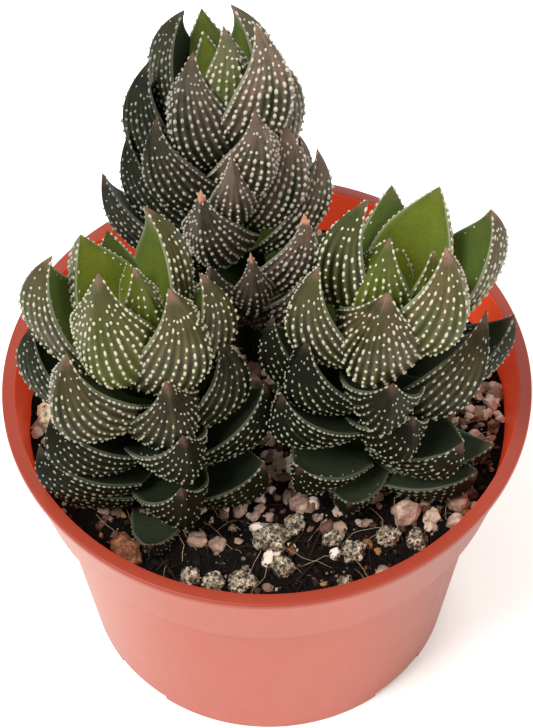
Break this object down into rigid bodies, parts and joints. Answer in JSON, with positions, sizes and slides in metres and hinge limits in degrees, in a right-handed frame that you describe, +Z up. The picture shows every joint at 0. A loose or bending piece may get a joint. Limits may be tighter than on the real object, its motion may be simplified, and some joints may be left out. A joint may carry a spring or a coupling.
{
  "type": "potted haworthia",
  "caption": "Potted haworthia: upright leafy stems of thick curled leaves with white tubercles, in a round plastic nursery pot with soil and loose stones.",
  "frame": {"origin": "on the surface the pot stands on, under the middle of the pot", "axes": "+Z up, -Y towards the front, +X to the right"},
  "size_m": [0.105, 0.105, 0.1414],
  "materials": {
    "pot_plastic": "satin moulded polypropylene, terracotta coloured",
    "soil_mix": "dark fibrous peat mix, matt",
    "leaf_green": "fleshy green leaf, satin, with raised white tubercles",
    "leaf_bronze": "fleshy bronze-green leaf, satin, with raised white tubercles",
    "pumice": "porous grey-white pumice, matt",
    "pebble": "pinkish grit, matt",
    "clay": "baked brown clay, matt"
  },
  "bodies": {
    "root": {"pot": "pot_plastic", "soil": "soil_mix", "plant_back": "leaf_bronze", "plant_left": "leaf_green", "plant_right": "leaf_green", "pumice_01": "pumice", "pumice_02": "pumice", "pumice_03": "pumice", "pumice_04": "pumice", "pumice_05": "pumice", "pumice_06": "pumice", "pumice_07": "pumice", "pumice_08": "pumice", "pumice_09": "pumice", "pumice_10": "pumice", "pumice_11": "pumice", "pebble_01": "pebble", "pebble_02": "pebble", "pebble_03": "pebble", "pebble_04": "pebble", "pebble_05": "pebble", "pebble_06": "pebble", "pebble_07": "pebble", "pebble_08": "pebble", "pebble_09": "pebble", "clay_lump_01": "clay", "clay_lump_02": "clay", "clay_lump_03": "clay"}
  },
  "joints": []
}
